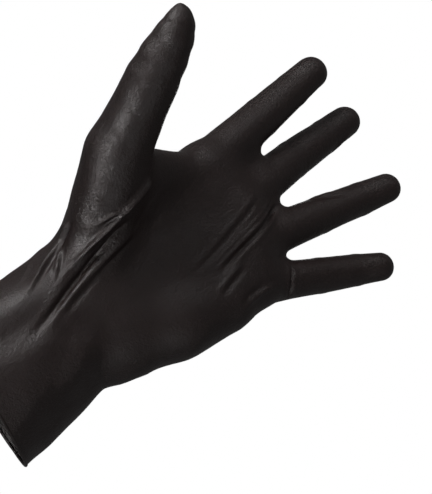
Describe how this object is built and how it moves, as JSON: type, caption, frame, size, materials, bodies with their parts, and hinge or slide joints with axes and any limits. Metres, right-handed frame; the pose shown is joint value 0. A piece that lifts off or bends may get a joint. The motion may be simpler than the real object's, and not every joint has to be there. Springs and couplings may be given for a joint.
{
  "type": "disposable glove",
  "caption": "Thin nitrile glove for the left hand, shaped as worn, with a long sleeve-like cuff, a rolled hem and digits that fold at their joints.",
  "frame": {"origin": "on the flat underside of the rolled hem, in the middle of its palm side", "axes": "+Z from the hem towards the fingertips, the palm faces -Y, the thumb is on the -X side"},
  "size_m": [0.1562, 0.1096, 0.2455],
  "materials": {
    "nitrile_film": "satin black nitrile film with a fine grain",
    "rolled_hem": "satin black nitrile, rolled into a bead"
  },
  "bodies": {
    "cuff": {"cuff_bead": "rolled_hem", "cuff_band": "nitrile_film", "cuff_stretch_film": "nitrile_film"},
    "wrist_sleeve": {"wrist_sleeve": "nitrile_film", "wrist_fold": "nitrile_film"},
    "palm": {"palm": "nitrile_film", "thumb_base_fold": "nitrile_film", "index_root_fold": "nitrile_film", "middle_root_fold": "nitrile_film", "ring_root_fold": "nitrile_film", "little_root_fold": "nitrile_film"},
    "thumb_base": {"thumb_base": "nitrile_film", "thumb_middle_fold": "nitrile_film"},
    "thumb_middle": {"thumb_middle": "nitrile_film", "thumb_tip_fold": "nitrile_film"},
    "thumb_tip": {"thumb_tip": "nitrile_film"},
    "index_proximal": {"index_proximal": "nitrile_film", "index_middle_fold": "nitrile_film"},
    "index_middle": {"index_middle": "nitrile_film", "index_tip_fold": "nitrile_film"},
    "index_tip": {"index_tip": "nitrile_film"},
    "middle_proximal": {"middle_proximal": "nitrile_film", "middle_middle_fold": "nitrile_film"},
    "middle_middle": {"middle_middle": "nitrile_film", "middle_tip_fold": "nitrile_film"},
    "middle_tip": {"middle_tip": "nitrile_film"},
    "ring_proximal": {"ring_proximal": "nitrile_film", "ring_middle_fold": "nitrile_film"},
    "ring_middle": {"ring_middle": "nitrile_film", "ring_tip_fold": "nitrile_film"},
    "ring_tip": {"ring_tip": "nitrile_film"},
    "little_proximal": {"little_proximal": "nitrile_film", "little_middle_fold": "nitrile_film"},
    "little_middle": {"little_middle": "nitrile_film", "little_tip_fold": "nitrile_film"},
    "little_tip": {"little_tip": "nitrile_film"}
  },
  "joints": [
    {"name": "cuff_stretch", "type": "slide", "parent": "cuff", "child": "wrist_sleeve", "axis": [0, 0, 1], "range_m": [0, 0.015], "stiffness_N_per_m": 60, "deforming": ["cuff_stretch_film"]},
    {"name": "wrist_fold", "type": "hinge", "parent": "wrist_sleeve", "child": "palm", "pos_m": [-0.0075, 0.027, 0.056], "axis": [1, 0, 0], "range_deg": [-40, 45], "stiffness_Nm_per_rad": 0.05, "deforming": ["wrist_fold"]},
    {"name": "thumb_base_fold", "type": "hinge", "parent": "palm", "child": "thumb_base", "pos_m": [-0.028, 0.021, 0.072], "axis": [0, 0.6971, 0.717], "range_deg": [-15, 25], "stiffness_Nm_per_rad": 0.02, "deforming": ["thumb_base_fold"]},
    {"name": "thumb_middle_fold", "type": "hinge", "parent": "thumb_base", "child": "thumb_middle", "pos_m": [-0.05434, -0.00609, 0.10102], "axis": [0.0122, 0.7094, 0.7047], "range_deg": [-5, 40], "stiffness_Nm_per_rad": 0.01, "deforming": ["thumb_middle_fold"]},
    {"name": "thumb_tip_fold", "type": "hinge", "parent": "thumb_middle", "child": "thumb_tip", "pos_m": [-0.07199, -0.02725, 0.1217], "axis": [-0.0031, 0.693, 0.7209], "range_deg": [-5, 60], "stiffness_Nm_per_rad": 0.01, "deforming": ["thumb_tip_fold"]},
    {"name": "index_root_fold", "type": "hinge", "parent": "palm", "child": "index_proximal", "pos_m": [-0.04011, 0.02903, 0.17379], "axis": [0.9848, 0, 0.1736], "range_deg": [-8, 65], "stiffness_Nm_per_rad": 0.006, "deforming": ["index_root_fold"]},
    {"name": "index_middle_fold", "type": "hinge", "parent": "index_proximal", "child": "index_middle", "pos_m": [-0.04236, 0.03194, 0.18658], "axis": [0.9848, 0, 0.1736], "range_deg": [-5, 75], "stiffness_Nm_per_rad": 0.004, "deforming": ["index_middle_fold"]},
    {"name": "index_tip_fold", "type": "hinge", "parent": "index_middle", "child": "index_tip", "pos_m": [-0.04658, 0.03456, 0.2105], "axis": [0.9848, 0, 0.1736], "range_deg": [-3.3, 49.5], "stiffness_Nm_per_rad": 0.001, "deforming": ["index_tip_fold"]},
    {"name": "middle_root_fold", "type": "hinge", "parent": "palm", "child": "middle_proximal", "pos_m": [-0.01472, 0.03386, 0.17676], "axis": [0.9984, 0, 0.0558], "range_deg": [-8, 65], "stiffness_Nm_per_rad": 0.006, "deforming": ["middle_root_fold"]},
    {"name": "middle_middle_fold", "type": "hinge", "parent": "middle_proximal", "child": "middle_middle", "pos_m": [-0.01572, 0.0404, 0.19466], "axis": [0.9984, 0, 0.0558], "range_deg": [-5, 75], "stiffness_Nm_per_rad": 0.004, "deforming": ["middle_middle_fold"]},
    {"name": "middle_tip_fold", "type": "hinge", "parent": "middle_middle", "child": "middle_tip", "pos_m": [-0.01719, 0.04674, 0.2209], "axis": [0.9984, 0, 0.0558], "range_deg": [-3.3, 49.5], "stiffness_Nm_per_rad": 0.001, "deforming": ["middle_tip_fold"]},
    {"name": "ring_root_fold", "type": "hinge", "parent": "palm", "child": "ring_proximal", "pos_m": [0.01174, 0.02824, 0.16744], "axis": [0.9854, 0, -0.1702], "range_deg": [-8, 65], "stiffness_Nm_per_rad": 0.006, "deforming": ["ring_root_fold"]},
    {"name": "ring_middle_fold", "type": "hinge", "parent": "ring_proximal", "child": "ring_middle", "pos_m": [0.01532, 0.03292, 0.18816], "axis": [0.9854, 0, -0.1702], "range_deg": [-5, 75], "stiffness_Nm_per_rad": 0.004, "deforming": ["ring_middle_fold"]},
    {"name": "ring_tip_fold", "type": "hinge", "parent": "ring_middle", "child": "ring_tip", "pos_m": [0.0198, 0.0357, 0.2141], "axis": [0.9854, 0, -0.1702], "range_deg": [-3.3, 49.5], "stiffness_Nm_per_rad": 0.001, "deforming": ["ring_tip_fold"]},
    {"name": "little_root_fold", "type": "hinge", "parent": "palm", "child": "little_proximal", "pos_m": [0.03254, 0.02447, 0.15164], "axis": [0.9171, 0, -0.3987], "range_deg": [-8, 65], "stiffness_Nm_per_rad": 0.006, "deforming": ["little_root_fold"]},
    {"name": "little_middle_fold", "type": "hinge", "parent": "little_proximal", "child": "little_middle", "pos_m": [0.0398, 0.02788, 0.16833], "axis": [0.9171, 0, -0.3987], "range_deg": [-5, 75], "stiffness_Nm_per_rad": 0.004, "deforming": ["little_middle_fold"]},
    {"name": "little_tip_fold", "type": "hinge", "parent": "little_middle", "child": "little_tip", "pos_m": [0.04826, 0.02942, 0.1878], "axis": [0.9171, 0, -0.3987], "range_deg": [-3.3, 49.5], "stiffness_Nm_per_rad": 0.001, "deforming": ["little_tip_fold"]}
  ],
  "couplings": [
    {"joint": "index_tip_fold", "follows": "index_middle_fold", "ratio": 0.66},
    {"joint": "middle_tip_fold", "follows": "middle_middle_fold", "ratio": 0.66},
    {"joint": "ring_tip_fold", "follows": "ring_middle_fold", "ratio": 0.66},
    {"joint": "little_tip_fold", "follows": "little_middle_fold", "ratio": 0.66}
  ]
}
